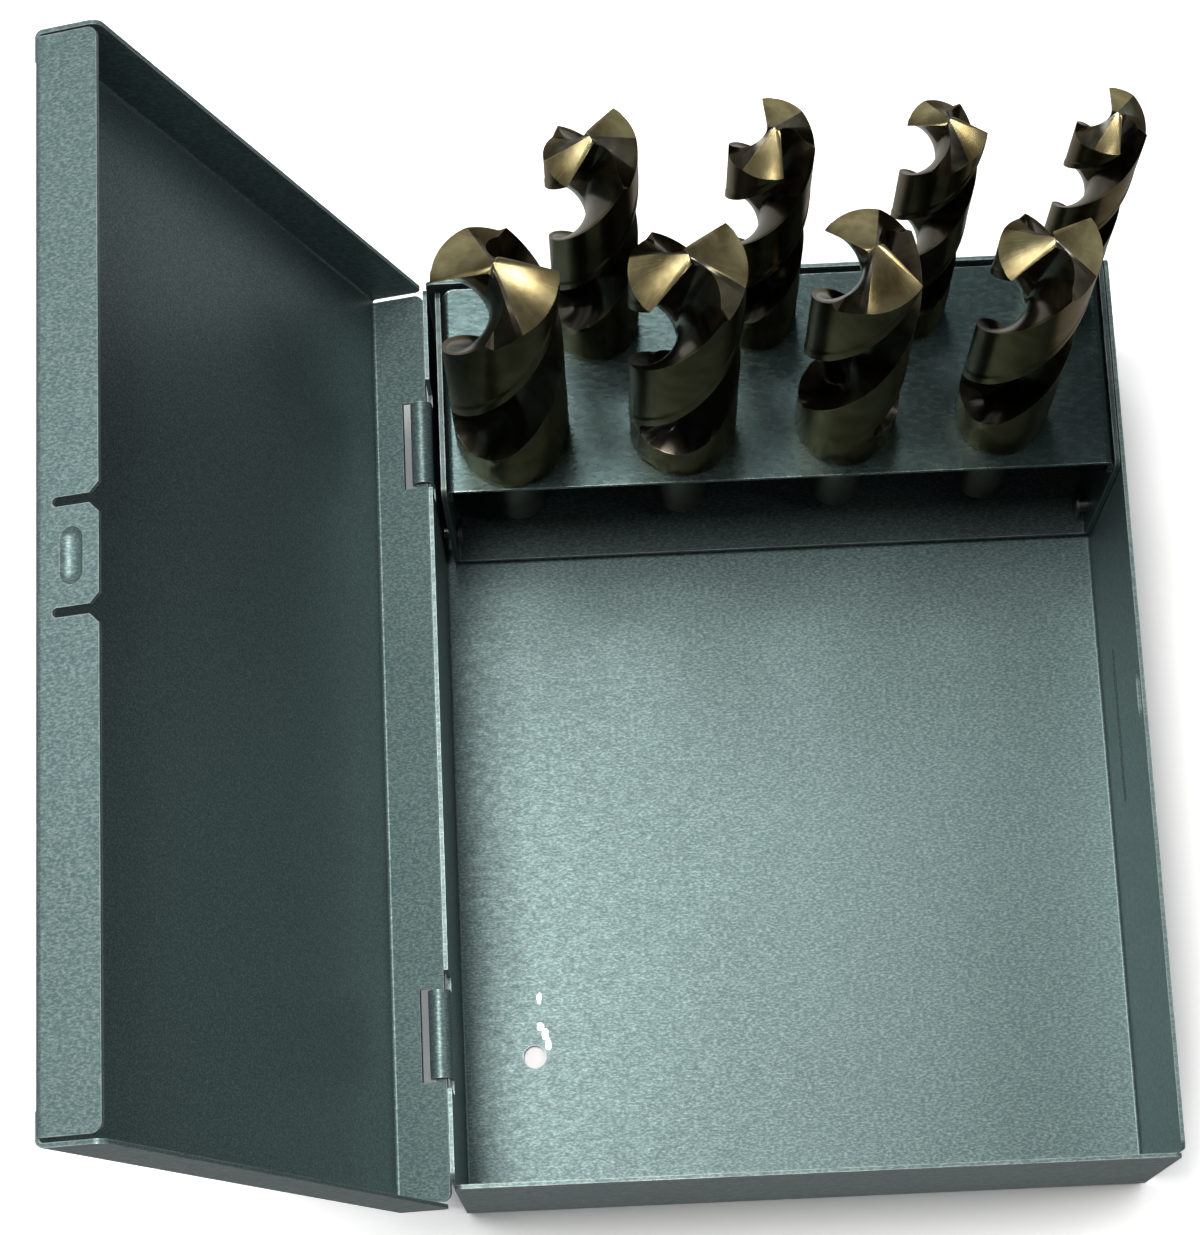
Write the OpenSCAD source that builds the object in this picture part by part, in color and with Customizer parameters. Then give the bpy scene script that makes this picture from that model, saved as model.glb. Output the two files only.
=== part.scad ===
// Drill bit case: a folded sheet-steel tray that lies on its back, a shallow lid hinged along
// the left wall, and a rack that swings upright in the far end and holds eight twist drills.
// Frame: X runs from the hinge wall to the latch wall, Y from the near wall to the far wall,
// Z up. The origin is the middle of the tray's underside.

/* [Tray] */
// Outside width, hinge wall to latch wall
case_w = 155; // [150:1:200]
// Outside length, near wall to far wall
case_l = 203.6; // [198:0.2:260]
// Outside height of the walls
case_h = 58; // [58:1:66]
// Thickness of the tray's sheet
tray_t = 0.9; // [0.7:0.05:1]
// Outside radius of the tray's folds
tray_bend = 1.6; // [1.2:0.1:3]
// How far the end walls stop short of the side walls' outer faces
end_wall_inset = 0.7; // [0.3:0.1:1.5]
// Open seam between an end wall and the edge of a side wall
corner_seam = 0.8; // [0.4:0.1:2]
// Radius of the corners at the rim
rim_corner_r = 2; // [0.5:0.1:4]
// Diameter of the round hole in the floor
floor_hole_d = 5.2; // [4:0.1:8]
// Floor hole, from the hinge wall's outer face
floor_hole_x = 17.3; // [12:0.1:40]
// Floor hole, from the near wall's outer face
floor_hole_y = 34.9; // [12:0.1:60]
// Length of the stiffening bead on the latch wall
bead_l = 37; // [20:1:60]
// Height of the stiffening bead
bead_h = 5; // [3:0.5:8]
// How far the bead is pressed outward
bead_depth = 0.9; // [0.5:0.1:1.5]
// Height of the bead's middle above the underside
bead_z = 22; // [15:1:30]

/* [Lid] */
// Height of the lid's walls, outside
lid_h = 13.2; // [12.5:0.1:20]
// Thickness of the lid's sheet
lid_t = 0.9; // [0.7:0.05:1]
// Outside radius of the lid's folds
lid_bend = 1.6; // [1.2:0.1:3]
// Gap between the lid's end walls and the tray's end walls, if the lid were centred
lid_end_gap = 1.4; // [1.3:0.1:2]
// Gap between the lid's latch wall and the tray's latch wall
lid_latch_gap = 0.5; // [0.3:0.1:1]
// Angle that the lid stands open, from closed
lid_open = 109; // [95:1:115]

/* [Hinges] */
// Hinge line, below the tray's rim
hinge_drop = 8.2; // [7:0.1:10]
// Spacing of the two hinges, middle to middle
hinge_spacing = 133.6; // [80:0.2:150]
// Middle of the hinges and of the lid, from the middle of the tray toward the far wall
hinge_shift = -1.1; // [-1.1:0.1:1.1]
// Length of each knuckle
knuckle_l = 19; // [12:0.5:30]
// Inside radius of the knuckle
knuckle_r = 1.55; // [1.45:0.01:1.8]
// Angle round which the tray's tab is curled
knuckle_wrap = 285; // [240:1:300]
// Width of the lid's rim strip that turns inside the knuckle
strip_w = 2.6; // [2.2:0.05:2.6]
// Slot cut in the tray's wall at each side of the knuckle
knuckle_relief = 3.2; // [2:0.1:6]
// Room between the knuckle and each end of the lid's window
window_room = 0.65; // [0.3:0.05:1.5]
// Height of the lid's window beyond the rim strip
window_h = 3.1; // [2.9:0.1:5]

/* [Latch] */
// Middle of the latch, from the middle of the tray toward the far wall
latch_shift = -0.5; // [-5:0.1:5]
// Width of the spring tab in the lid's latch wall
latch_tab_w = 18.8; // [14:0.5:30]
// Width of the slot at each side of the spring tab
latch_slot_w = 1.8; // [0.8:0.1:2.5]
// Depth of the slots from the rim
latch_slot_l = 9.3; // [9:0.1:11]
// Size of the lead-in chamfer at each slot's mouth
latch_flare = 1.9; // [1:0.1:3]
// Length of the pressed dimple at its foot
dimple_l = 11.6; // [7:0.2:14]
// Height of the pressed dimple at its foot
dimple_h = 5.4; // [4:0.1:6]
// How far the dimple stands in from the lid's wall
dimple_depth = 1.1; // [0.8:0.1:1.3]
// Dimple's middle, from the lid's rim
dimple_rise = 5.5; // [5:0.1:6]
// Room round the dimple in the catch slot
catch_room = 0.3; // [0.1:0.05:0.5]

/* [Rack] */
// Gap between the cradle and each side wall of the tray, with the rack in the middle
rack_side_gap = 1.1; // [0.9:0.05:2]
// Depth of the cradle, front to back
rack_d = 48.6; // [46:0.2:49]
// Thickness of the rack's sheet
rack_t = 1.1; // [0.8:0.1:1.3]
// Outside radius of the cradle's folds
rack_bend = 1.8; // [1.5:0.1:3]
// Top of the rack, below the tray's rim
rack_drop = 0; // [0:0.5:4]
// Underside of the cradle's floor, above the tray's underside
rack_lift = 4.3; // [3.5:0.1:5]
// Gap between the cradle and the far wall
rack_far_gap = 1.5; // [1.2:0.1:4]
// How far the rack is slid along its rivets toward the latch wall
rack_slide = 0.8; // [0:0.1:0.8]
// Gap under the foot at the back of the cradle
foot_gap = 0.1; // [0.05:0.05:0.3]
// How far the top plate's front edge lies behind the cradle's
plate_setback = 0.8; // [0:0.1:3]
// Gap between the top plate and the cradle's sides
plate_fit = 0.05; // [0.05:0.01:0.2]
// Depth of the top plate's side tabs
plate_tab_h = 9; // [5:0.5:15]
// Plan radius of the top plate's back corners
plate_corner_r = 3.3; // [1:0.1:5]

/* [Pivots] */
// Height of the rack's pivot above the underside
pivot_z = 10.5; // [10:0.1:13]
// Pivot, behind the cradle's front edge
pivot_back = 5.7; // [5.2:0.1:7]
// Diameter of the rivet's shank
rivet_d = 3.5; // [3:0.1:4]
// Radial room between the rivet and the cradle's hole
rivet_room = 0.08; // [0.03:0.01:0.1]
// Diameter of the rivet's heads
rivet_head_d = 7; // [5:0.1:8]
// Height of the rivet's domed outer head
rivet_dome_h = 1.5; // [0.8:0.1:2]
// Thickness of the rivet's flat inner head
rivet_inner_h = 0.9; // [0.6:0.1:1.5]
// End play between the cradle and the rivet's inner head, at the least
rivet_end_play = 0.2; // [0.1:0.05:0.5]

/* [Drills] */
// Diameter of every shank
shank_d = 12.7; // [10:0.1:13]
// Length of every shank
shank_l = 47.1; // [38:0.1:48]
// Length of every body, from the top plate to the tip
body_l = 105.3; // [80:0.1:108]
// Unfluted length at the foot of each body
neck_l = 17; // [10:1:30]
// Included angle of the point
point_angle = 118; // [110:1:135]
// Helix angle of the flutes
helix_angle = 28; // [20:1:35]
// Angle that each land takes up of the round
land_angle = 92; // [70:1:110]
// Half the web's thickness as a share of the drill's radius
web_share = 0.14; // [0.1:0.01:0.25]
// How far the fluted part is ground below the drill's full radius
margin_relief = 0.04; // [0.02:0.01:0.2]
// Chamfer at the end of each shank
shank_chamfer = 1; // [0.3:0.1:2]
// Radial room round each shank in the top plate
hole_room = 0.3; // [0.1:0.05:0.6]
// Gap under each body's shoulder
seat_gap = 0.02; // [0.01:0.01:0.1]
// First drill of the front row, from the cradle's left side
front_start = 16.4; // [15:0.1:18]
// First drill of the back row, from the cradle's left side
back_start = 36.2; // [30:0.1:38]
// Last drill of the front row, from the cradle's right side
front_end = 25.9; // [22:0.1:34]
// Last drill of the back row, from the cradle's right side
back_end = 11.7; // [10:0.1:20]
// Front row, behind the top plate's front edge
front_row = 13.1; // [12.8:0.1:14]
// Back row, behind the front row
row_pitch = 25.5; // [23:0.1:25.8]

/* [Hidden] */

inch = 25.4;
// Diameters of the two rows, from the hinge wall to the latch wall
front_d = [16, 15, 14, 13] * inch / 16;
back_d = [12, 11, 10, 9] * inch / 16;
// Direction of one cutting lip of each drill, seen from above, in degrees from +X
front_turn = [183, 229, 146, 217];
back_turn = [239, 281, 172, 274];
flute_slices = 22;

x_left = -case_w / 2;
x_right = case_w / 2;
y_near = -case_l / 2;
y_far = case_l / 2;
side_wall_inset = tray_t + corner_seam;
overcut = 1;
weld = 0.2;

// Hinge line: the middle of the knuckle, whose curl runs on from the wall's sheet
hinge_x = x_left - knuckle_r;
hinge_z = case_h - hinge_drop;
knuckle_outer_r = knuckle_r + tray_t;
window_l = knuckle_l + 2 * window_room;

// The lid in its own frame: U from the hinge wall's outer face, V from the rim upward, closed
lid_x0 = hinge_x - lid_t / 2;
lid_z0 = hinge_z - strip_w / 2;
lid_w = x_right + lid_latch_gap + lid_t - lid_x0;
lid_l = case_l + 2 * (lid_end_gap + lid_t);
lid_side_inset = lid_t + corner_seam;
lid_y0 = hinge_shift - lid_l / 2;
latch_v = latch_shift - lid_y0;
dimple_z = lid_z0 + dimple_rise;
// The dimple where it enters the tray's wall, which the catch slot is cut round
dimple_r = mark_radius(dimple_h, dimple_depth);
entry_h = 2 * sqrt(dimple_r * dimple_r - pow(dimple_r - dimple_depth + lid_latch_gap, 2));
catch_h = entry_h + 2 * catch_room;
catch_l = dimple_l - dimple_h + catch_h;

// The rack, upright
rack_w = case_w - 2 * (tray_t + rack_side_gap);
rack_x0 = -rack_w / 2 + rack_slide;
rack_x1 = rack_x0 + rack_w;
rack_y1 = y_far - tray_t - rack_far_gap;
rack_y0 = rack_y1 - rack_d;
rack_z1 = case_h - rack_drop;
plate_y0 = rack_y0 + plate_setback;
pivot_y = rack_y0 + pivot_back;
rivet_grip = 2 * rack_side_gap + rack_t + rivet_end_play;

// A sheet that turns a right angle: a flat on the X axis, a bend and a wall along +Y
module angle_profile(flat, wall, t, r) {
    translate([r, 0]) square([flat - r, t]);
    translate([0, r]) square([t, wall - r]);
    intersection() {
        translate([r, r]) difference() {
            circle(r = r, $fn = 48);
            circle(r = r - t, $fn = 48);
        }
        square([r, r]);
    }
}

// A wall of a tray, standing at X = 0 and running along +Y, with its top corners rounded
module folded_wall(run, flat, height, t, r, corner) {
    intersection() {
        translate([0, run, 0]) rotate([90, 0, 0])
            linear_extrude(run) angle_profile(flat, height, t, r);
        rotate([90, 0, 90]) translate([0, 0, -overcut]) linear_extrude(flat + 2 * overcut)
            rounded_top(run, height, corner);
    }
}

// A rectangle from the origin whose two upper corners are round
module rounded_top(w, h, r) {
    square([w, h - r]);
    translate([r, 0]) square([w - 2 * r, h]);
    for (x = [r, w - r]) translate([x, h - r]) circle(r = r, $fn = 32);
}

// An open tray of folded sheet, from the origin to [w, l, h], with open corner seams
module folded_tray(w, l, h, t, r, end_inset, side_inset, corner) {
    flat = 4 * r;
    for (side = [0, 1]) {
        translate([side * w, side_inset, 0]) mirror([side, 0, 0])
            folded_wall(l - 2 * side_inset, flat, h, t, r, corner);
        translate([end_inset, side * l, 0]) mirror([0, side, 0]) rotate([0, 0, 90])
            mirror([0, 1, 0]) folded_wall(w - 2 * end_inset, flat, h, t, r, corner);
    }
    translate([r, r, 0]) cube([w - 2 * r, l - 2 * r, t]);
}

// Radius of the round that a mark of this height and depth is a slice of
function mark_radius(height, depth) = (height * height / 4 + depth * depth) / (2 * depth);

// A long mark pressed into sheet: its length along Y, its height along Z, swelling to X = depth
module pressed_mark(length, height, depth, shrink) {
    r = mark_radius(height, depth);
    half = (length - height) / 2;
    translate([depth - r, 0, 0]) {
        translate([0, half, 0]) rotate([90, 0, 0]) cylinder(r = r - shrink, h = 2 * half, $fn = 64);
        for (y = [-half, half]) translate([0, y, 0]) sphere(r = r - shrink, $fn = 64);
    }
}

// The raised side of a pressed mark: what stands out past X = 0
module pressed_raise(length, height, depth) {
    intersection() {
        pressed_mark(length, height, depth, 0);
        translate([0, -length, -height]) cube([depth + overcut, 2 * length, 2 * height]);
    }
}

// A slot with round ends through a wall in the YZ plane
module round_slot(length, height, through) {
    half = (length - height) / 2;
    rotate([0, 90, 0]) translate([0, 0, -through / 2]) {
        for (y = [-half, half]) translate([0, y, 0]) cylinder(d = height, h = through, $fn = 48);
        translate([-height / 2, -half, 0]) cube([height, 2 * half, through]);
    }
}

// The knuckle: the tray's tab, curled outward and round the lid's rim strip
module knuckle() {
    translate([0, knuckle_l / 2, 0]) rotate([90, 0, 0]) linear_extrude(knuckle_l) {
        difference() {
            circle(r = knuckle_outer_r, $fn = 64);
            circle(r = knuckle_r, $fn = 64);
            polygon(concat([[0, 0]], [for (i = [0 : 4])
                let (a = knuckle_wrap + i * (360 - knuckle_wrap) / 4)
                2 * knuckle_outer_r * [cos(a), sin(a)]]));
        }
        translate([knuckle_r, -knuckle_relief - weld]) square([tray_t, knuckle_relief + weld]);
    }
}

function hinge_y(side) = hinge_shift + side * hinge_spacing / 2;

module base_tray() {
    color("#6f8988") difference() {
        union() {
            difference() {
                translate([x_left, y_near, 0])
                    folded_tray(case_w, case_l, case_h, tray_t, tray_bend, end_wall_inset,
                        side_wall_inset, rim_corner_r);
                // Each knuckle is what was the wall above it, with a relief slot at each side
                for (side = [-1, 1])
                    translate([x_left - overcut, hinge_y(side) - knuckle_l / 2 - knuckle_relief,
                        hinge_z - knuckle_relief])
                        cube([tray_t + 2 * overcut, knuckle_l + 2 * knuckle_relief, case_h]);
            }
            for (side = [-1, 1]) translate([hinge_x, hinge_y(side), hinge_z]) knuckle();
            translate([x_right, 0, bead_z]) pressed_raise(bead_l, bead_h, bead_depth);
        }
        translate([x_right, 0, bead_z]) pressed_mark(bead_l, bead_h, bead_depth, tray_t);
        translate([x_right - tray_t / 2, latch_shift, dimple_z])
            round_slot(catch_l, catch_h, tray_t + overcut);
        translate([x_left + floor_hole_x, y_near + floor_hole_y, -overcut])
            cylinder(d = floor_hole_d, h = tray_t + 2 * overcut, $fn = 48);
        for (side = [-1, 1]) translate([side * (x_right - tray_t / 2), pivot_y, pivot_z])
            rotate([0, 90, 0]) cylinder(d = rivet_d, h = tray_t + overcut, center = true, $fn = 48);
    }
}

// The lid closed, from the hinge wall's rim: U along X, its rim at Z = 0
module lid_closed() {
    latch_u = lid_w - lid_t;
    difference() {
        union() {
            translate([0, lid_l, lid_h]) rotate([180, 0, 0])
                folded_tray(lid_w, lid_l, lid_h, lid_t, lid_bend, end_wall_inset,
                    lid_side_inset, rim_corner_r);
            translate([latch_u, latch_v, dimple_rise]) mirror([1, 0, 0])
                pressed_raise(dimple_l, dimple_h, dimple_depth);
        }
        translate([latch_u, latch_v, dimple_rise]) mirror([1, 0, 0])
            pressed_mark(dimple_l, dimple_h, dimple_depth, lid_t);
        for (side = [-1, 1])
            translate([-overcut, (lid_l + side * hinge_spacing - window_l) / 2, strip_w])
                cube([lid_t + 2 * overcut, window_l, window_h]);
        for (side = [-1, 1])
            translate([latch_u - overcut, latch_v + side * (latch_tab_w + latch_slot_w) / 2, 0])
                latch_slot(lid_t + 2 * overcut);
    }
}

// One slot beside the spring tab, open at the rim with a flared mouth
module latch_slot(through) {
    half = latch_slot_w / 2;
    rotate([90, 0, 90]) linear_extrude(through) {
        polygon([[-half - latch_flare, -overcut], [half + latch_flare, -overcut],
            [half + latch_flare, 0], [half, latch_flare], [-half, latch_flare],
            [-half - latch_flare, 0]]);
        translate([-half, 0]) square([latch_slot_w, latch_slot_l - half]);
        translate([0, latch_slot_l - half]) circle(r = half, $fn = 32);
    }
}

module lid() {
    color("#7d9796") translate([hinge_x, lid_y0, hinge_z]) rotate([0, -lid_open, 0])
        translate([lid_x0 - hinge_x, 0, lid_z0 - hinge_z]) lid_closed();
}

module rack_cradle() {
    height = rack_z1 - rack_lift;
    color("#6a8584") difference() {
        union() {
            for (side = [0, 1])
                translate([side ? rack_x1 : rack_x0, rack_y0, rack_lift]) mirror([side, 0, 0])
                    folded_wall(rack_d, 4 * rack_bend, height, rack_t, rack_bend, rim_corner_r);
            translate([rack_x0 + rack_bend, rack_y0, rack_lift])
                cube([rack_w - 2 * rack_bend, rack_d, rack_t]);
            // The foot at the back rests on the tray's floor and holds the rack upright
            translate([rack_x0 + 4 * rack_bend, rack_y1 - rack_t, tray_t + foot_gap])
                cube([rack_w - 8 * rack_bend, rack_t, rack_lift - tray_t - foot_gap + weld]);
        }
        translate([0, pivot_y, pivot_z]) rotate([0, 90, 0])
            cylinder(r = rivet_d / 2 + rivet_room, h = 2 * rack_w, center = true, $fn = 48);
    }
}

// Centres of the drills in a row, each body standing off its neighbour by the same room
function row_room(d, start, end) =
    (rack_w - start - end - (d[0] + d[3]) / 2 - d[1] - d[2]) / 3;
function row_x(d, start, end, i) = i == 0 ? rack_x0 + start
    : row_x(d, start, end, i - 1) + (d[i - 1] + d[i]) / 2 + row_room(d, start, end);
function front_at(i) = [row_x(front_d, front_start, front_end, i), plate_y0 + front_row];
function back_at(i) =
    [row_x(back_d, back_start, back_end, i), plate_y0 + front_row + row_pitch];

module rack_top_plate() {
    plate_x0 = rack_x0 + rack_t + plate_fit;
    plate_w = rack_w - 2 * (rack_t + plate_fit);
    plate_d = rack_y1 - plate_y0;
    color("#7f9998") difference() {
        translate([plate_x0, plate_y0, rack_z1]) intersection() {
            union() {
                translate([rack_bend, 0, -rack_t]) cube([plate_w - 2 * rack_bend, plate_d, rack_t]);
                for (side = [0, 1]) translate([side * plate_w, 0, 0]) mirror([side, 0, 0])
                    translate([0, plate_d, 0]) rotate([180, 0, 0])
                    folded_wall(plate_d, 4 * rack_bend, plate_tab_h, rack_t, rack_bend,
                        rim_corner_r);
            }
            translate([0, 0, -plate_tab_h - overcut]) linear_extrude(plate_tab_h + 2 * overcut)
                rounded_top(plate_w, plate_d, plate_corner_r);
        }
        for (i = [0 : 3]) {
            shank_hole(front_at(i));
            shank_hole(back_at(i));
        }
    }
}

module shank_hole(at) {
    translate([at[0], at[1], rack_z1 - rack_t - overcut])
        cylinder(d = shank_d + 2 * hole_room, h = rack_t + 2 * overcut, $fn = 64);
}

// A rivet along +X: a domed head outside the tray's wall, whose outer face is at X = 0,
// the shank that the cradle turns on, and a flat head inside the cradle
module pivot_rivet() {
    r = rivet_head_d / 2;
    dome_r = (r * r + rivet_dome_h * rivet_dome_h) / (2 * rivet_dome_h);
    grip_end = tray_t + rivet_grip;
    arc = asin(r / dome_r);
    rotate([0, 90, 0]) rotate_extrude($fn = 64) polygon(concat(
        [for (i = [0 : 8]) let (a = arc * i / 8)
            [dome_r * sin(a), dome_r - rivet_dome_h - dome_r * cos(a)]],
        [[rivet_d / 2, 0], [rivet_d / 2, grip_end], [r - 0.4, grip_end],
            [r - 0.4, grip_end + rivet_inner_h - 0.3], [r - 0.7, grip_end + rivet_inner_h],
            [0, grip_end + rivet_inner_h]]));
}

module left_pivot_rivet() {
    color("#9aa3a0") translate([x_left, pivot_y, pivot_z]) pivot_rivet();
}

module right_pivot_rivet() {
    color("#9aa3a0") translate([x_right, pivot_y, pivot_z]) mirror([1, 0, 0]) pivot_rivet();
}

// Section across the flutes: a round bar with two hollows. One cutting edge is at +X, and the
// land lies clockwise of it, seen from the tip.
module flute_section(r) {
    web = web_share * r;
    half = (180 - land_angle) / 2;
    reach = (r * r - web * web) / (2 * (r * cos(half) - web));
    difference() {
        circle(r = r, $fn = 28);
        for (side = [0, 180]) rotate(side + half) translate([reach, 0])
            circle(r = reach - web, $fn = 28);
    }
}

// A reduced-shank twist drill standing on its shoulder at Z = 0, tip up
module drill(d, turn) {
    r = d / 2;
    point_h = r / tan(point_angle / 2);
    fluted = body_l - neck_l - point_h;
    // A right-hand helix turns anticlockwise, seen from the tip, as it climbs
    twist = (fluted + weld) * 360 * tan(helix_angle) / (PI * d);
    flute_r = r - margin_relief;
    rotate_extrude($fn = 64) polygon([[0, -shank_l], [shank_d / 2 - shank_chamfer, -shank_l],
        [shank_d / 2, -shank_l + shank_chamfer], [shank_d / 2, 0], [r, 0], [r, neck_l],
        [0, neck_l]]);
    translate([0, 0, neck_l - weld]) rotate(turn - twist)
        linear_extrude(fluted + weld, twist = -twist, slices = flute_slices)
        flute_section(flute_r);
    translate([0, 0, body_l - point_h - weld]) rotate(turn)
        linear_extrude(point_h + weld, scale = 0.04, slices = 1)
        flute_section(flute_r - margin_relief);
}

module front_drill(i) {
    color("#5d5a48") translate([front_at(i)[0], front_at(i)[1], rack_z1 + seat_gap])
        drill(front_d[i], front_turn[i]);
}

module back_drill(i) {
    color("#5d5a48") translate([back_at(i)[0], back_at(i)[1], rack_z1 + seat_gap])
        drill(back_d[i], back_turn[i]);
}

module drill_1_inch() { front_drill(0); }
module drill_15_16_inch() { front_drill(1); }
module drill_7_8_inch() { front_drill(2); }
module drill_13_16_inch() { front_drill(3); }
module drill_3_4_inch() { back_drill(0); }
module drill_11_16_inch() { back_drill(1); }
module drill_5_8_inch() { back_drill(2); }
module drill_9_16_inch() { back_drill(3); }

base_tray();
lid();
rack_cradle();
rack_top_plate();
left_pivot_rivet();
right_pivot_rivet();
drill_1_inch();
drill_15_16_inch();
drill_7_8_inch();
drill_13_16_inch();
drill_3_4_inch();
drill_11_16_inch();
drill_5_8_inch();
drill_9_16_inch();
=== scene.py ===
import math

import bmesh
import bpy
from mathutils import Matrix, Vector


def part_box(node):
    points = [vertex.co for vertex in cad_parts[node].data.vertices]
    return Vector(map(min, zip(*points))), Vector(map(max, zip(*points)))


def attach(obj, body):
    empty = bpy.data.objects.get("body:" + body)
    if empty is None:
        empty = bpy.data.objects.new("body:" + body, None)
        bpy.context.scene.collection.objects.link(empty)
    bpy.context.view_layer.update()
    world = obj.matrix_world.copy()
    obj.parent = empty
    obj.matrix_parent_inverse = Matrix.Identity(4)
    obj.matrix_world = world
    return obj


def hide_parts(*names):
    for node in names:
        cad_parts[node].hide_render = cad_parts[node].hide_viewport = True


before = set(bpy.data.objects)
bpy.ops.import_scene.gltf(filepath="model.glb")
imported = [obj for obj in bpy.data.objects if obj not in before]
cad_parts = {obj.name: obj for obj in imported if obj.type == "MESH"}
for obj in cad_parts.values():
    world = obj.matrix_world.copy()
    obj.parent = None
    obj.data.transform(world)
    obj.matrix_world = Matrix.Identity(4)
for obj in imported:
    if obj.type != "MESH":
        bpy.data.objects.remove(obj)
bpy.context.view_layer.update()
scene = bpy.context.scene
scene.view_settings.view_transform = "Standard"
print("frame loaded")


# camera at the photograph's place
cameraView = {
    "place": (-0.04060716, -0.17248836, 0.77693662),
    "turn": (0.26298203, 0.01185358, -0.04337269),
    "lens": 101.595,
    "sensorWidth": 36.0,
}

cameraData = bpy.data.cameras.new("photoCamera")
cameraData.sensor_fit = "HORIZONTAL"
cameraData.sensor_width = cameraView["sensorWidth"]
cameraData.lens = cameraView["lens"]
cameraObject = bpy.data.objects.new("photoCamera", cameraData)
cameraObject.location = cameraView["place"]
cameraObject.rotation_euler = cameraView["turn"]
scene.collection.objects.link(cameraObject)
scene.camera = cameraObject
print("camera set")


# node helpers
def opaque(color):
    return (*color, 1.0)


def newTree(name):
    material = bpy.data.materials.new(name)
    material.use_nodes = True
    material.node_tree.nodes.clear()
    return material, material.node_tree


def addNode(tree, kind, at, inputs=None, **settings):
    node = tree.nodes.new(kind)
    node.location = at
    for key, value in settings.items():
        setattr(node, key, value)
    for key, value in (inputs or {}).items():
        node.inputs[key].default_value = value
    return node


def addMath(tree, at, operation, a, b, clamp=False):
    node = addNode(tree, "ShaderNodeMath", at, operation=operation, use_clamp=clamp)
    for i, value in enumerate((a, b)):
        if isinstance(value, (int, float)):
            node.inputs[i].default_value = value
        else:
            tree.links.new(value, node.inputs[i])
    return node.outputs[0]


def addVector(tree, at, operation, a, b=None):
    node = addNode(tree, "ShaderNodeVectorMath", at, operation=operation)
    tree.links.new(a, node.inputs[0])
    if isinstance(b, tuple):
        node.inputs[1].default_value = b
    elif b is not None:
        tree.links.new(b, node.inputs[1])
    return node.outputs["Value" if operation in ("DOT_PRODUCT", "LENGTH") else "Vector"]


def addScale(tree, at, vector, factor):
    node = addNode(tree, "ShaderNodeVectorMath", at, operation="SCALE")
    tree.links.new(vector, node.inputs[0])
    tree.links.new(factor, node.inputs["Scale"])
    return node.outputs["Vector"]


def addRange(tree, at, source, read, give, **settings):
    limits = {"From Min": read[0], "From Max": read[1], "To Min": give[0], "To Max": give[1]}
    node = addNode(tree, "ShaderNodeMapRange", at, limits, **settings)
    tree.links.new(source, node.inputs["Value"])
    return node.outputs[0]


def addObjectPlace(tree, at):
    return addNode(tree, "ShaderNodeTexCoord", at).outputs["Object"]


def addNoise(tree, at, vector, scale, detail, roughness):
    noise = addNode(tree, "ShaderNodeTexNoise", at, {"Detail": detail, "Roughness": roughness})
    tree.links.new(vector, noise.inputs["Vector"])
    if isinstance(scale, float):
        noise.inputs["Scale"].default_value = scale
    else:
        tree.links.new(scale, noise.inputs["Scale"])
    return noise.outputs[0]


def addRamp(tree, at, source, stops):
    ramp = addNode(tree, "ShaderNodeValToRGB", at)
    for element, (place, color) in zip(ramp.color_ramp.elements, stops):
        element.position = place
        element.color = opaque(color)
    tree.links.new(source, ramp.inputs[0])
    return ramp.outputs[0]


def addMixColor(tree, at, factor, a, b):
    mix = addNode(tree, "ShaderNodeMix", at, data_type="RGBA")
    for i, value in ((0, factor), (6, a), (7, b)):
        if isinstance(value, tuple):
            mix.inputs[i].default_value = opaque(value)
        else:
            tree.links.new(value, mix.inputs[i])
    return mix.outputs[2]


def addBump(tree, at, height, strength, distance):
    bump = addNode(tree, "ShaderNodeBump", at, {"Strength": strength, "Distance": distance})
    tree.links.new(height, bump.inputs["Height"])
    return bump.outputs[0]


def addOutput(tree, at, shader):
    output = addNode(tree, "ShaderNodeOutputMaterial", at)
    tree.links.new(shader.outputs[0], output.inputs[0])


def addShader(tree, at, fixed, color, rough, normal):
    shader = addNode(tree, "ShaderNodeBsdfPrincipled", at, fixed)
    for socket, source in (("Base Color", color), ("Roughness", rough), ("Normal", normal)):
        tree.links.new(source, shader.inputs[socket])
    addOutput(tree, (at[0] + 300, at[1]), shader)


def newGroup(name, inputs, outputs):
    group = bpy.data.node_groups.new(name, "ShaderNodeTree")
    for socketName, kind, value in inputs:
        socket = group.interface.new_socket(socketName, in_out="INPUT", socket_type=kind)
        socket.default_value = value
    for socketName, kind in outputs:
        group.interface.new_socket(socketName, in_out="OUTPUT", socket_type=kind)
    given = addNode(group, "NodeGroupInput", (-1400, 0)).outputs
    out = addNode(group, "NodeGroupOutput", (900, 0)).inputs
    return group, given, out


def placeGroup(tree, group, at, values):
    node = addNode(tree, "ShaderNodeGroup", at, node_tree=group)
    for key, value in values.items():
        node.inputs[key].default_value = opaque(value) if isinstance(value, tuple) else value
    return node


# wear along edges, broken into patches; on the painted case its lighter colour is also a painted highlight along
# the edges
edgeWearAndSheenPattern = {
    "sharpness": 7.0,
    "patchRange": (0.36, 0.6),
    "leastWear": 0.35,
}


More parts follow.
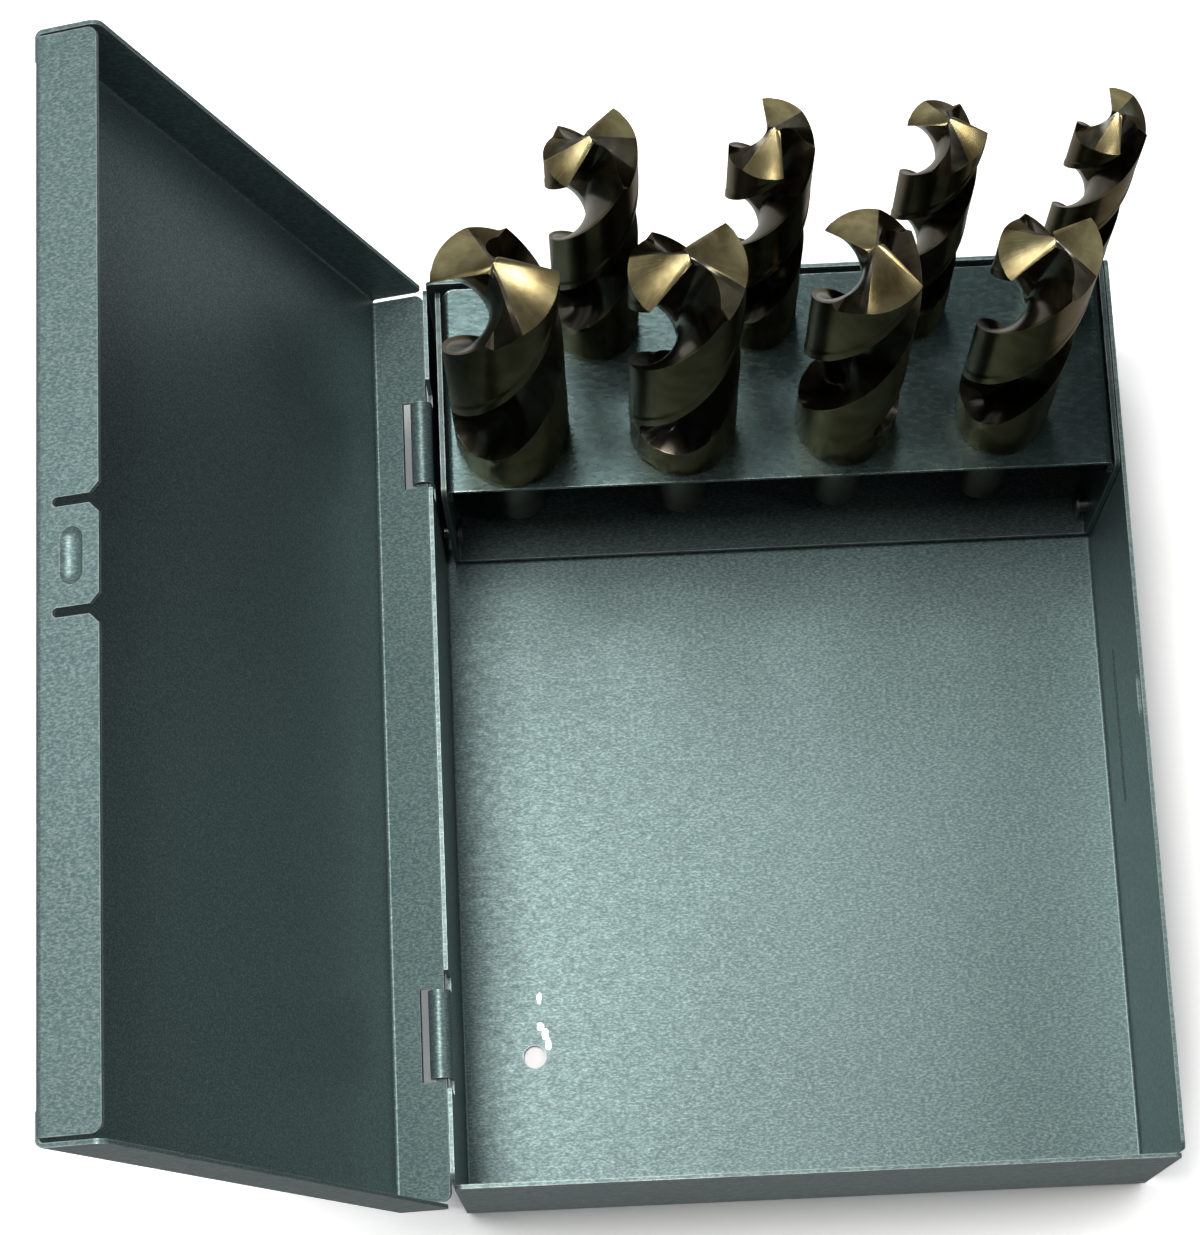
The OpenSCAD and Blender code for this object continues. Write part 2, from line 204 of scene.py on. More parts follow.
def makeEdgeWearAndSheen(look):
    group, given, out = newGroup(
        "edgeWearAndSheen",
        [("Reach", "NodeSocketFloat", 0.0004), ("Amount", "NodeSocketFloat", 1.0),
         ("Patch Scale", "NodeSocketFloat", 160.0)],
        [("Mask", "NodeSocketFloat")])
    bevel = addNode(group, "ShaderNodeBevel", (-1000, 200), samples=6)
    group.links.new(given["Reach"], bevel.inputs["Radius"])
    geometry = addNode(group, "ShaderNodeNewGeometry", (-1000, 0))
    alike = addVector(group, (-800, 150), "DOT_PRODUCT", bevel.outputs[0], geometry.outputs["True Normal"])
    turned = addMath(group, (-600, 150), "SUBTRACT", 1.0, alike, clamp=True)
    sharp = addMath(group, (-400, 150), "MULTIPLY", turned, look["sharpness"], clamp=True)
    place = addObjectPlace(group, (-1000, -300))
    patch = addNoise(group, (-800, -300), place, given["Patch Scale"], 3.0, 0.6)
    broken = addRange(group, (-500, -300), patch, look["patchRange"], (look["leastWear"], 1.0))
    worn = addMath(group, (-200, 0), "MULTIPLY", sharp, broken)
    group.links.new(addMath(group, (0, 0), "MULTIPLY", worn, given["Amount"], clamp=True), out["Mask"])
    return group


# the sprayed enamel's slow tone, orange peel and flecks
enamelPattern = {
    "cloudScale": 18.0,
    "cloudTone": (0.93, 1.07),
    "peelScale": 950.0,
    "peelRoughness": (-0.04, 0.05),
    "drawnOut": (0.42, 1.0, 0.8),   # the peel runs long across the case
    "fleckRange": (0.42, 0.68),
    "fleckHeight": 0.35,
    "noiseRange": (0.3, 0.7),
}


def makeEnamelSkin(look):
    group, given, out = newGroup(
        "enamelSkin",
        [("Paint", "NodeSocketColor", (0.2, 0.25, 0.24, 1)), ("Speck", "NodeSocketColor", (0.5, 0.55, 0.52, 1)),
         ("Speck Amount", "NodeSocketFloat", 0.5), ("Speck Scale", "NodeSocketFloat", 1900.0),
         ("Gloss", "NodeSocketFloat", 0.4)],
        [("Color", "NodeSocketColor"), ("Roughness", "NodeSocketFloat"), ("Height", "NodeSocketFloat")])
    place = addObjectPlace(group, (-1300, -200))
    rolled = addNode(group, "ShaderNodeMapping", (-1150, 0), {"Scale": look["drawnOut"]})
    group.links.new(place, rolled.inputs["Vector"])
    cloud = addNoise(group, (-1000, 300), place, look["cloudScale"], 3.0, 0.5)
    peel = addNoise(group, (-1000, 0), rolled.outputs[0], look["peelScale"], 2.0, 0.5)
    grain = addNoise(group, (-1000, -300), rolled.outputs[0], given["Speck Scale"], 2.0, 0.7)

    tone = addRange(group, (-750, 300), cloud, look["noiseRange"], look["cloudTone"])
    tinted = addScale(group, (-500, 300), given["Paint"], tone)
    fleck = addRange(group, (-750, -300), grain, look["fleckRange"], (0.0, 1.0))
    fleckMask = addMath(group, (-500, -300), "MULTIPLY", fleck, given["Speck Amount"])
    group.links.new(addMixColor(group, (-200, 200), fleckMask, tinted, given["Speck"]), out["Color"])

    rough = addRange(group, (-500, 0), peel, look["noiseRange"], look["peelRoughness"])
    group.links.new(addMath(group, (-200, 0), "ADD", rough, given["Gloss"]), out["Roughness"])
    fine = addMath(group, (-500, -500), "MULTIPLY", grain, look["fleckHeight"])
    group.links.new(addMath(group, (-200, -300), "ADD", peel, fine), out["Height"])
    return group


# fine lines round a turned piece or across a ground facet, on the "turned" UV map
def makeDraw():
    group, given, out = newGroup(
        "drawnLines",
        [("Along", "NodeSocketFloat", 1.0), ("Across", "NodeSocketFloat", 400.0),
         ("Amount", "NodeSocketFloat", 0.1)],
        [("Shift", "NodeSocketFloat"), ("Height", "NodeSocketFloat")])
    uv = addNode(group, "ShaderNodeUVMap", (-1200, 0), uv_map="turned")
    scale = addNode(group, "ShaderNodeCombineXYZ", (-1200, -200))
    group.links.new(given["Across"], scale.inputs[0])
    group.links.new(given["Along"], scale.inputs[1])
    stretch = addVector(group, (-950, 0), "MULTIPLY", uv.outputs[0], scale.outputs[0])
    lines = addNoise(group, (-700, 0), stretch, 1.0, 4.0, 0.65)
    centred = addMath(group, (-450, 0), "SUBTRACT", lines, 0.5)
    group.links.new(addMath(group, (-200, 0), "MULTIPLY", centred, given["Amount"]), out["Shift"])
    group.links.new(lines, out["Height"])
    return group


edgeWearAndSheen = makeEdgeWearAndSheen(edgeWearAndSheenPattern)
enamelSkin = makeEnamelSkin(enamelPattern)
drawnLines = makeDraw()
print("shared groups built")


# the case's paint
casePaint = {
    "paint": (0.068, 0.114, 0.115),
    "speck": (0.28, 0.35, 0.34),
    "speckAmount": 0.55,
    "speckScale": 2600.0,
    "gloss": 0.41,
    "metal": 0.5,
    "ior": 1.5,
    "edgeTint": (0.80, 0.86, 0.86),
    "peelDepth": 0.00003,
    "edgeReach": 0.00045,
    "edgeAmount": 0.7,
    "edgePatches": 160.0,
    # lighter edges: partly paint wear, partly a painted highlight
    "edgeWearAndSheenColor": (0.40, 0.45, 0.43),
    "bareColor": (0.86, 0.88, 0.87),
    "chipRagScale": 900.0,
    "chipRagDepth": 1.3,
    "chipEdge": 9.0,
    # bare spots beside the floor hole: centre and half size in metres
    "chips": (
        ((-0.0587, -0.0535, 0.0009), (0.0006, 0.0012, 0.0006)),
        ((-0.0586, -0.0600, 0.0009), (0.0009, 0.0010, 0.0006)),
        ((-0.0576, -0.0617, 0.0009), (0.0008, 0.0014, 0.0006)),
        ((-0.0570, -0.0642, 0.0009), (0.0008, 0.0014, 0.0006)),
    ),
}
# the top plate's lighter edges are partly wear, partly a painted highlight along its front edge
topPlatePaint = dict(casePaint, paint=(0.036, 0.058, 0.057), speck=(0.09, 0.12, 0.118), speckAmount=0.30,
                     gloss=0.26, metal=0.85, edgeWearAndSheenColor=(0.42, 0.48, 0.46))
# a darker copy of the case paint: painted shade on the cradle under the top plate
shadedCradlePaint = dict(casePaint, paint=(0.030, 0.047, 0.046), speckAmount=0.2, gloss=0.38)


def chipMask(tree, look):
    place = addObjectPlace(tree, (-1500, -700))
    rag = addNoise(tree, (-1300, -950), place, look["chipRagScale"], 3.0, 0.7)
    ragged = addMath(tree, (-1200, -950), "SUBTRACT", rag, 0.5)
    ragged = addMath(tree, (-1100, -950), "MULTIPLY", ragged, look["chipRagDepth"])
    total = None
    for i, (centre, half) in enumerate(look["chips"]):
        row = -700 - 60 * i
        shift = addVector(tree, (-1300, row), "SUBTRACT", place, centre)
        fit = addVector(tree, (-1150, row), "DIVIDE", shift, half)
        near = addMath(tree, (-850, row), "SUBTRACT", 1.0, addVector(tree, (-1000, row), "LENGTH", fit))
        total = near if total is None else addMath(tree, (-700, row), "MAXIMUM", total, near)
    grown = addMath(tree, (-550, -700), "ADD", total, ragged)
    return addMath(tree, (-400, -700), "MULTIPLY", grown, look["chipEdge"], clamp=True)


def makePaint(name, look, chipped=False):
    material, tree = newTree(name)
    skin = placeGroup(tree, enamelSkin, (-900, 200), {
        "Paint": look["paint"], "Speck": look["speck"], "Speck Amount": look["speckAmount"],
        "Speck Scale": look["speckScale"], "Gloss": look["gloss"]})
    wear = placeGroup(tree, edgeWearAndSheen, (-900, -200), {
        "Reach": look["edgeReach"], "Amount": look["edgeAmount"], "Patch Scale": look["edgePatches"]})
    # sharp edges turn lighter: paint wear and a painted highlight
    color = addMixColor(tree, (-500, 200), wear.outputs["Mask"], skin.outputs["Color"], look["edgeWearAndSheenColor"])
    if chipped:
        color = addMixColor(tree, (-250, 200), chipMask(tree, look), color, look["bareColor"])
    bump = addBump(tree, (-400, -200), skin.outputs["Height"], 1.0, look["peelDepth"])
    fixed = {"Metallic": look["metal"], "IOR": look["ior"], "Specular Tint": opaque(look["edgeTint"])}
    addShader(tree, (0, 100), fixed, color, skin.outputs["Roughness"], bump)
    return material


def dress(node, material):
    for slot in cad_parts[node].material_slots:
        slot.material = material


dress("base_tray", makePaint("trayPaint", casePaint, chipped=True))
dress("lid", makePaint("lidPaint", casePaint))
dress("rack_cradle", makePaint("shadedCradlePaint", shadedCradlePaint))
dress("rack_top_plate", makePaint("topPlatePaint", topPlatePaint))
print("case painted")


# the rivets' plating
rivetPlate = {
    "color": (0.15, 0.155, 0.145),
    "dull": (0.06, 0.064, 0.058),
    "toneRange": (0.35, 0.62),
    "roughness": 0.30,
    "dullExtra": 0.12,          # roughness that the dull blotches add
    "roughRange": (0.3, 0.7),
    "blotchScale": 1400.0,
    "blotchDepth": 0.00002,
    "edgeReach": 0.0003,
    "edgeAmount": 0.6,
    "edgePatches": 500.0,
    "wornColor": (0.7, 0.71, 0.68),
}


def makePlating(name, look):
    material, tree = newTree(name)
    blotch = addNoise(tree, (-700, 0), addObjectPlace(tree, (-900, 0)), look["blotchScale"], 4.0, 0.6)
    wear = placeGroup(tree, edgeWearAndSheen, (-900, -300), {
        "Reach": look["edgeReach"], "Amount": look["edgeAmount"], "Patch Scale": look["edgePatches"]})
    low, high = look["toneRange"]
    toned = addRamp(tree, (-450, 0), blotch, ((low, look["dull"]), (high, look["color"])))
    color = addMixColor(tree, (-150, 0), wear.outputs["Mask"], toned, look["wornColor"])
    rough = addRange(tree, (-450, -250), blotch, look["roughRange"],
                     (look["roughness"] + look["dullExtra"], look["roughness"]))
    bump = addBump(tree, (-450, -450), blotch, 0.6, look["blotchDepth"])
    addShader(tree, (100, 0), {"Metallic": 1.0}, color, rough, bump)
    return material


rivetFinish = makePlating("rivetPlate", rivetPlate)
dress("left_pivot_rivet", rivetFinish)
dress("right_pivot_rivet", rivetFinish)
print("rivets plated")


# the drills' finishes: edgeTint is the metal's colour at a grazing angle, lowShade how much painted shade
# darkens the low end
drillFinish = {
    "flute": {
        "deep": (0.008, 0.0065, 0.0038), "warm": (0.080, 0.063, 0.036), "edgeTint": (0.97, 0.94, 0.86),
        "roughness": 0.17, "metal": 0.8, "ior": 1.6, "across": 3.0, "along": 60.0, "draw": 0.22,
        "lowShade": 0.75},
    "land": {
        "deep": (0.028, 0.024, 0.016), "warm": (0.118, 0.097, 0.062), "edgeTint": (0.66, 0.60, 0.49),
        "roughness": 0.24, "metal": 0.95, "ior": 1.9, "across": 8.0, "along": 260.0, "draw": 0.12,
        "lowShade": 0.25},
    "ground": {
        "deep": (0.22, 0.165, 0.072), "warm": (0.53, 0.44, 0.23), "edgeTint": (1.0, 0.95, 0.84),
        "roughness": 0.26, "metal": 1.0, "ior": 1.5, "across": 120.0, "along": 6.0, "draw": 0.10,
        "lowShade": 0.0},
    "shank": {
        "deep": (0.040, 0.042, 0.036), "warm": (0.11, 0.105, 0.085), "edgeTint": (0.85, 0.83, 0.78),
        "roughness": 0.33, "metal": 0.85, "ior": 1.7, "across": 6.0, "along": 420.0, "draw": 0.22,
        "lowShade": 0.0},
}

# what all four share
drillWear = {
    "cloudScale": 130.0,
    "toneRange": (0.34, 0.68),
    "shadeHeights": (0.076, 0.112),
    "edgeReach": 0.00022,
    "edgeAmount": 0.35,
    "edgePatches": 260.0,
    "wornColor": (0.55, 0.53, 0.45),
    "drawDepth": 0.000012,
}


def makeSteel(name, look, shared):
    material, tree = newTree(name)
    draw = placeGroup(tree, drawnLines, (-900, 0), {
        "Along": look["along"], "Across": look["across"], "Amount": look["draw"]})
    place = addObjectPlace(tree, (-900, -300))
    cloud = addNoise(tree, (-700, -300), place, shared["cloudScale"], 3.0, 0.55)
    blend = addMath(tree, (-500, -200), "ADD", cloud, draw.outputs["Shift"])
    low, high = shared["toneRange"]
    color = addRamp(tree, (-350, 0), blend, ((low, look["deep"]), (high, look["warm"])))
    # painted shade: the colour darkens toward the low end, near the plate and the other drills
    if look["lowShade"]:
        split = addNode(tree, "ShaderNodeSeparateXYZ", (-700, 550))
        tree.links.new(place, split.inputs[0])
        keep = addRange(tree, (-500, 550), split.outputs[2], shared["shadeHeights"], (1.0 - look["lowShade"], 1.0))
        color = addScale(tree, (-200, 400), color, keep)
    wear = placeGroup(tree, edgeWearAndSheen, (-600, 300), {
        "Reach": shared["edgeReach"], "Amount": shared["edgeAmount"], "Patch Scale": shared["edgePatches"]})
    color = addMixColor(tree, (-50, 150), wear.outputs["Mask"], color, shared["wornColor"])
    rough = addMath(tree, (-350, -300), "ADD", draw.outputs["Shift"], look["roughness"])
    bump = addBump(tree, (-350, -500), draw.outputs["Height"], 0.5, shared["drawDepth"])
    fixed = {"Metallic": look["metal"], "IOR": look["ior"], "Specular Tint": opaque(look["edgeTint"])}
    addShader(tree, (200, 0), fixed, color, rough, bump)
    return material


steels = [makeSteel("drill" + part.capitalize(), look, drillWear) for part, look in drillFinish.items()]
fluteSlot, landSlot, groundSlot, shankSlot = range(4)

# reduced-shank twist drills, in metres and degrees
drillShape = {
    "bodyLength": 0.1053,
    "shankDiameter": 0.0127,
    "shankEnd": ((0.001, 0.0), (0.0003, 0.0008), (0.0, 0.002)),     # inset and height of the rounded end
    "shankSeat": 0.001,         # how far the shank goes up into the body
    "helix": 28.0,
    "point": 118.0,
    "land": 92.0,
    "web": 0.14,                # half the core's thickness, to the radius
    "webReach": 1.12,           # where the lip meets the gullet, to the web
    "gullet": ((86, 0.16), (108, 0.52)),    # angle and reach of the flute curve's two handles
    "neck": 0.0155,             # plain length under the flutes
    "marginAngle": 11.0,
    "marginStep": 0.00012,
    "marginGap": 0.03,          # in radians
    "sectionSteps": {"land": 25, "margin": 4, "lip": 15, "gullet": 18},
    "ringPitch": 0.0011,
    "tipSpare": 0.001,          # body above the tip, for the point to cut
    "lipRelief": 8.0,
    "heelRelief": 38.0,
    "coneSegments": 180,
    "coneReach": 1.12,
    "heelSpill": 0.1,           # in radians, as are the next two
    "heelFade": 0.5,
    "backFacet": 0.35,
    "cutterDepth": 0.002,
    "footBevel": 0.0003,
    "shankSteps": 72,
    "outerShare": 0.93,         # faces nearer the axis than this belong to the flutes
    "sharpAngle": 32,
    # each drill's world angle of one lip's outer corner, and the angle that the ground facet behind it takes
    "lips": {
        "drill_1_inch": (183, 68), "drill_15_16_inch": (229, 68), "drill_7_8_inch": (146, 67),
        "drill_13_16_inch": (217, 70), "drill_3_4_inch": (239, 47), "drill_11_16_inch": (281, 57),
        "drill_5_8_inch": (172, 51), "drill_9_16_inch": (274, 42),
    },
}


def polar(angle):
    return Vector((math.cos(angle), math.sin(angle)))


def halfSection(radius, shape):
    # half a section's outline: land from the heel to the lip corner at 0, then the flute to 180 - land
    web = shape["web"] * radius
    inner = radius - shape["marginStep"]
    climb = math.tan(math.radians(shape["helix"])) / math.tan(math.radians(shape["point"] / 2))
    landStart = -math.radians(shape["land"])
    margin = math.radians(shape["marginAngle"])
    steps = shape["sectionSteps"]
    points = []
    for i in range(steps["land"] + 1):
        angle = landStart + (-margin - shape["marginGap"] - landStart) * i / steps["land"]
        points.append((inner * math.cos(angle), inner * math.sin(angle)))
    for i in range(steps["margin"] + 1):
        angle = -margin + margin * i / steps["margin"]
        points.append((radius * math.cos(angle), radius * math.sin(angle)))
    for i in range(1, steps["lip"] + 1):
        reach = radius + (web * shape["webReach"] - radius) * i / steps["lip"]
        angle = math.asin(min(1.0, web / reach)) - math.asin(shape["web"]) - climb * (1 - reach / radius)
        points.append((reach * math.cos(angle), reach * math.sin(angle)))
    start = Vector(points[-1])
    bend, swell = (polar(math.radians(angle)) * radius * reach for angle, reach in shape["gullet"])
    end = polar(math.radians(180 - shape["land"])) * inner
    for i in range(1, steps["gullet"]):
        t = i / steps["gullet"]
        p = start * (1 - t) ** 3 + bend * 3 * t * (1 - t) ** 2 + swell * 3 * t * t * (1 - t) + end * t ** 3
        points.append((p.x, p.y))
    return points


def makeFlutedBody(radius, low, tip, turn, shape):
    half = halfSection(radius, shape)
    outline = half + [(-x, -y) for x, y in half]
    corner = tip - radius / math.tan(math.radians(shape["point"] / 2))
    twistRate = math.tan(math.radians(shape["helix"])) / radius
    length = tip + shape["tipSpare"] - low
    steps = int(length / shape["ringPitch"])
    rise = length / steps
    body = bmesh.new()
    ring = bmesh.ops.create_circle(body, segments=len(outline), radius=radius)["verts"]
    spinStart = turn + twistRate * (low - corner)
    for vert, (x, y) in zip(ring, outline):
        vert.co = Matrix.Rotation(spinStart, 3, "Z") @ Vector((x, y, low))
    bmesh.ops.spin(body, geom=list(body.edges), cent=(0, 0, 0), axis=(0, 0, 1), dvec=(0, 0, rise),
                   angle=twistRate * rise * steps, steps=steps)
    # the flutes run out above the neck, as a round cutter leaves them
    depth = radius * (1 - shape["web"])
    runStart = low + shape["neck"] + depth
    middle = math.radians((180 - shape["land"]) / 2)
    for vert in body.verts:
        drop = runStart - vert.co.z
        if drop <= 0:
            continue
        lift = 2 * radius if drop >= depth else depth - math.sqrt(depth * depth - drop * drop)
        outward = polar(turn + twistRate * (vert.co.z - corner) + middle)
        flat = Vector(vert.co.xy)
        if flat.length < radius - 1.5 * shape["marginStep"]:
            moved = flat + outward * (lift if flat.dot(outward) > 0 else -lift)
            flat = moved if moved.length < radius else moved.normalized() * radius
        else:
            flat = flat.normalized() * (flat.length + (radius - flat.length) * min(1.0, drop / depth))
        vert.co.xy = flat
    bmesh.ops.holes_fill(body, edges=[e for e in body.edges if e.is_boundary], sides=0)
    bmesh.ops.recalc_face_normals(body, faces=list(body.faces))
    for face in body.faces:
        face.smooth = True
        reach = max(v.co.xy.length for v in face.verts)
        outer = face.calc_center_median().xy.length > shape["outerShare"] * radius
        face.material_index = landSlot if reach > radius - 2 * shape["marginStep"] and outer else fluteSlot
    return body


def makePointCutter(radius, low, tip, turn, face, shape):
    # a cone whose rim drops behind each lip: the ground facet first, then the steeper heel
    slope = 1 / math.tan(math.radians(shape["point"] / 2))
    wide = radius * shape["coneReach"]
    cutter = bmesh.new()
    bmesh.ops.create_cone(cutter, cap_ends=True, segments=shape["coneSegments"], radius1=wide, radius2=0,
                          depth=wide * slope)
    apex = [v for v in cutter.verts if v.co.z > 0]
    rim = [v for v in cutter.verts if v.co.z < 0]
    for vert in apex:
        vert.co.z = tip
    faceSpan = math.radians(face)
    landSpan = math.radians(shape["land"])
    heelEnd = landSpan + shape["heelSpill"]
    ease = math.tan(math.radians(shape["lipRelief"]))
    steep = math.tan(math.radians(shape["heelRelief"]))
    for vert in rim:
        behind = (turn - math.atan2(vert.co.y, vert.co.x)) % math.pi
        drop = ease * min(behind, faceSpan) + steep * max(0.0, min(behind, heelEnd) - faceSpan)
        if behind > heelEnd:
            drop *= max(0.0, 1 - (behind - heelEnd) / shape["heelFade"])
        vert.co.z = tip - wide * (slope + drop)
    base = [f for f in cutter.faces if len(f.verts) > 3]
    grown = bmesh.ops.extrude_face_region(cutter, geom=base)["geom"]
    for vert in [g for g in grown if isinstance(g, bmesh.types.BMVert)]:
        vert.co.z = low - shape["cutterDepth"]
    bmesh.ops.delete(cutter, geom=[f for f in base if f.is_valid], context="FACES_ONLY")
    bmesh.ops.recalc_face_normals(cutter, faces=list(cutter.faces))
    for item in cutter.faces:
        centre = item.calc_center_median()
        behind = (turn - math.atan2(centre.y, centre.x)) % math.pi
        ground = behind < faceSpan or behind > landSpan + shape["backFacet"]
        item.material_index = groundSlot if ground else landSlot
    return cutter


def toObject(mesh, name):
    data = bpy.data.meshes.new(name)
    mesh.to_mesh(data)
    mesh.free()
    for steel in steels:
        data.materials.append(steel)
    made = bpy.data.objects.new(name, data)
    scene.collection.objects.link(made)
    return made


def makeShank(low, seat, shape):
    radius = shape["shankDiameter"] / 2
    top = seat + shape["shankSeat"]
    rounded = [(radius - inset, low + height) for inset, height in shape["shankEnd"]]
    shank = bmesh.new()
    verts = [shank.verts.new((x, 0, z)) for x, z in [(0, low)] + rounded + [(radius, top), (0, top)]]
    edges = [shank.edges.new(pair) for pair in zip(verts, verts[1:])]
    bmesh.ops.spin(shank, geom=verts + edges, cent=(0, 0, 0), axis=(0, 0, 1), angle=2 * math.pi,
                   steps=shape["shankSteps"], use_merge=True)
    bmesh.ops.remove_doubles(shank, verts=list(shank.verts), dist=1e-6)
    bmesh.ops.recalc_face_normals(shank, faces=list(shank.faces))
    for face in shank.faces:
        face.smooth = True
        face.material_index = shankSlot
    return shank


def unwrapTurned(mesh, low):
    # round the drill across, 100 mm of height up
    turned = mesh.loops.layers.uv.new("turned")
    for face in mesh.faces:
        centre = face.calc_center_median()
        faceAngle = math.atan2(centre.y, centre.x)
        for loop in face.loops:
            spot = loop.vert.co
            angle = math.atan2(spot.y, spot.x) if spot.xy.length > 1e-6 else faceAngle
            if angle - faceAngle > math.pi:
                angle -= 2 * math.pi
            elif faceAngle - angle > math.pi:
                angle += 2 * math.pi
            loop[turned].uv = (angle / (2 * math.pi), (spot.z - low) / 0.1)


def makeDrill(node, shape):
    low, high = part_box(node)
    centre = (low + high) / 2
    radius = (high.x - low.x) / 2
    seat = high.z - shape["bodyLength"]
    lip, face = shape["lips"][node]
    turn = math.radians(lip)
    body = toObject(makeFlutedBody(radius, seat, high.z, turn, shape), node + "Body")
    cutter = toObject(makePointCutter(radius, seat, high.z, turn, face, shape), node + "Cutter")
    cut = body.modifiers.new("point", "BOOLEAN")
    cut.operation = "INTERSECT"
    cut.solver = "EXACT"
    cut.object = cutter
    made = bpy.data.meshes.new_from_object(body.evaluated_get(bpy.context.evaluated_depsgraph_get()))
    drill = bmesh.new()
    drill.from_mesh(made)
    bmesh.ops.remove_doubles(drill, verts=list(drill.verts), dist=2e-6)
    foot = [e for e in drill.edges if e.is_manifold and all(abs(v.co.z - seat) < 1e-6 for v in e.verts)
            and len({abs(f.normal.z) > 0.9 for f in e.link_faces}) == 2]
    bmesh.ops.bevel(drill, geom=foot, offset=shape["footBevel"], offset_type="OFFSET", segments=2, profile=0.5,
                    affect="EDGES", material=-1)
    shank = bpy.data.meshes.new(node + "Shank")
    shaft = makeShank(low.z, seat, shape)
    shaft.to_mesh(shank)
    shaft.free()
    drill.from_mesh(shank)
    unwrapTurned(drill, low.z)
    bmesh.ops.translate(drill, verts=list(drill.verts), vec=(centre.x, centre.y, 0))
    piece = toObject(drill, node + "Steel")
    piece.data.set_sharp_from_angle(angle=math.radians(shape["sharpAngle"]))
    for spare in (body, cutter):
        bpy.data.objects.remove(spare)
    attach(piece, "body_" + node)
    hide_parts(node)
    return piece


for node in drillShape["lips"]:
    piece = makeDrill(node, drillShape)
    print(node, len(piece.data.polygons), "faces")


# floor and light
studio = {
    "floorSize": 6.0,
    "floorDrop": 0.0004,        # clear of the tray's underside
    "floorColor": (0.16, 0.16, 0.16),
    "floorSeen": (0.96, 0.96, 0.96),
    "floorGlow": 0.60,
    "floorMirror": 0.28,
    "nookReach": 0.25,
    "nookRange": (0.46, 0.80),
    "worldColor": (0.82, 0.90, 0.92),
    "worldStrength": 0.12,
    "horizonShine": 0.75,
    "horizonRange": (0.10, 0.45),
    "lamps": {
        "overheadSoftbox": {
            "place": (-0.28, 0.07, 1.25), "aim": (-0.02, 0.02, 0.0), "size": (0.42, 0.36), "watts": 11.8,
            "color": (1.0, 0.975, 0.95)},
        "backCard": {
            "place": (-0.12, 0.44, 1.22), "aim": (-0.02, 0.06, 0.0), "size": (0.26, 0.24), "watts": 2.9,
            "color": (1.0, 1.0, 1.0)},
        "leftCard": {
            "place": (-0.95, 0.30, 1.20), "aim": (-0.05, 0.05, 0.1), "size": (0.5, 0.6), "watts": 3.5,
            "color": (0.96, 1.0, 1.0)},
        "rightCard": {
            "place": (0.82, -0.11, 1.12), "aim": (0.0, 0.07, 0.16), "size": (0.30, 0.35), "watts": 3.0,
            "color": (1.0, 0.99, 0.95)},
        "frontCard": {
            "place": (-0.38, -0.90, 1.25), "aim": (0.0, 0.07, 0.16), "size": (0.24, 0.24), "watts": 1.2,
            "color": (1.0, 0.99, 0.95)},
    },
}


def addMirrored(tree, at, path):
    return addMath(tree, at, "MAXIMUM", path.outputs["Is Glossy Ray"], path.outputs["Is Transmission Ray"])


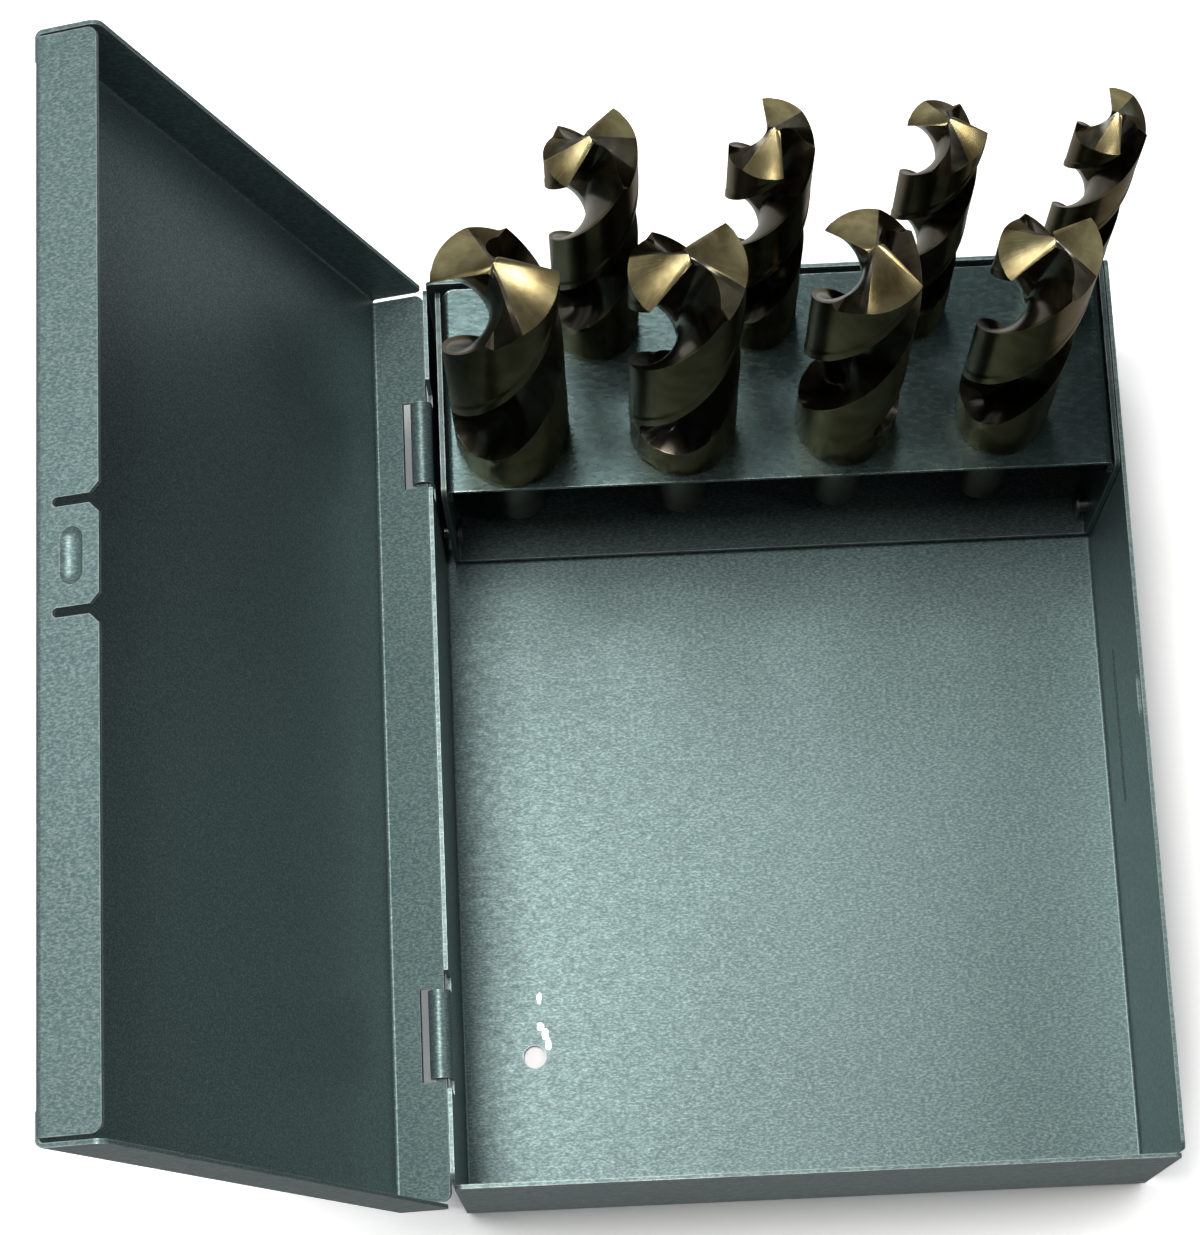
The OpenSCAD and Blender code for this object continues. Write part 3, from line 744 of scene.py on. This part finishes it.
def makeFloor(look):
    sheet = bmesh.new()
    bmesh.ops.create_grid(sheet, x_segments=2, y_segments=2, size=look["floorSize"])
    bmesh.ops.translate(sheet, verts=list(sheet.verts), vec=(0, 0, -look["floorDrop"]))
    data = bpy.data.meshes.new("studioFloor")
    sheet.to_mesh(data)
    sheet.free()
    material, tree = newTree("studioFloor")
    path = addNode(tree, "ShaderNodeLightPath", (-700, -100))
    matte = addNode(tree, "ShaderNodeBsdfDiffuse", (-200, 100))
    tint = addMixColor(tree, (-400, 200), path.outputs["Is Camera Ray"], look["floorColor"], look["floorSeen"])
    tree.links.new(tint, matte.inputs["Color"])
    # painted shade: the floor's glow to the camera fades in deep gaps, such as between the lid and the tray
    nook = addNode(tree, "ShaderNodeAmbientOcclusion", (-900, -400), {"Distance": look["nookReach"]}, samples=8)
    clear = addRange(tree, (-700, -400), nook.outputs["AO"], look["nookRange"], (0.0, 1.0),
                     interpolation_type="SMOOTHSTEP")
    seen = addMath(tree, (-500, -100), "MULTIPLY", path.outputs["Is Camera Ray"], look["floorGlow"])
    seen = addMath(tree, (-450, -200), "MULTIPLY", seen, clear)
    mirrored = addMath(tree, (-500, -250), "MULTIPLY", addMirrored(tree, (-600, -250), path), look["floorMirror"])
    glow = addNode(tree, "ShaderNodeEmission", (-200, -100), {"Color": (1, 1, 1, 1)})
    tree.links.new(addMath(tree, (-350, -100), "MAXIMUM", seen, mirrored), glow.inputs["Strength"])
    both = addNode(tree, "ShaderNodeAddShader", (0, 0))
    tree.links.new(matte.outputs[0], both.inputs[0])
    tree.links.new(glow.outputs[0], both.inputs[1])
    addOutput(tree, (200, 0), both)
    data.materials.append(material)
    floor = bpy.data.objects.new("studioFloor", data)
    scene.collection.objects.link(floor)


def makeLamps(lamps):
    for name, look in lamps.items():
        data = bpy.data.lights.new(name, "AREA")
        data.shape = "RECTANGLE"
        data.size, data.size_y = look["size"]
        data.energy = look["watts"]
        data.color = look["color"]
        lamp = bpy.data.objects.new(name, data)
        lamp.location = look["place"]
        toward = Vector(look["aim"]) - Vector(look["place"])
        lamp.rotation_euler = toward.to_track_quat("-Z", "Y").to_euler()
        scene.collection.objects.link(lamp)


def makeWorld(look):
    world = bpy.data.worlds.new("studioWorld")
    world.use_nodes = True
    tree = world.node_tree
    tree.nodes.clear()
    soft = addNode(tree, "ShaderNodeBackground", (-200, 100), {"Color": opaque(look["worldColor"])})
    white = addNode(tree, "ShaderNodeBackground", (-200, -100), {"Color": (1, 1, 1, 1), "Strength": 1.0})
    path = addNode(tree, "ShaderNodeLightPath", (-1100, 200))
    # bright metal mirrors the pale backdrop low down
    toward = addNode(tree, "ShaderNodeTexCoord", (-1300, -200))
    split = addNode(tree, "ShaderNodeSeparateXYZ", (-1100, -200))
    tree.links.new(toward.outputs["Generated"], split.inputs[0])
    low = addRange(tree, (-900, -200), split.outputs[2], look["horizonRange"], (1.0, 0.0))
    shine = addMath(tree, (-700, 0), "MULTIPLY", low, addMirrored(tree, (-900, 50), path))
    shine = addMath(tree, (-550, 0), "MULTIPLY", shine, look["horizonShine"])
    tree.links.new(addMath(tree, (-400, 0), "ADD", shine, look["worldStrength"]), soft.inputs["Strength"])
    mix = addNode(tree, "ShaderNodeMixShader", (0, 0))
    tree.links.new(path.outputs["Is Camera Ray"], mix.inputs[0])
    tree.links.new(soft.outputs[0], mix.inputs[1])
    tree.links.new(white.outputs[0], mix.inputs[2])
    output = addNode(tree, "ShaderNodeOutputWorld", (200, 0))
    tree.links.new(mix.outputs[0], output.inputs[0])
    scene.world = world


makeFloor(studio)
makeLamps(studio["lamps"])
makeWorld(studio)
print("studio lit")
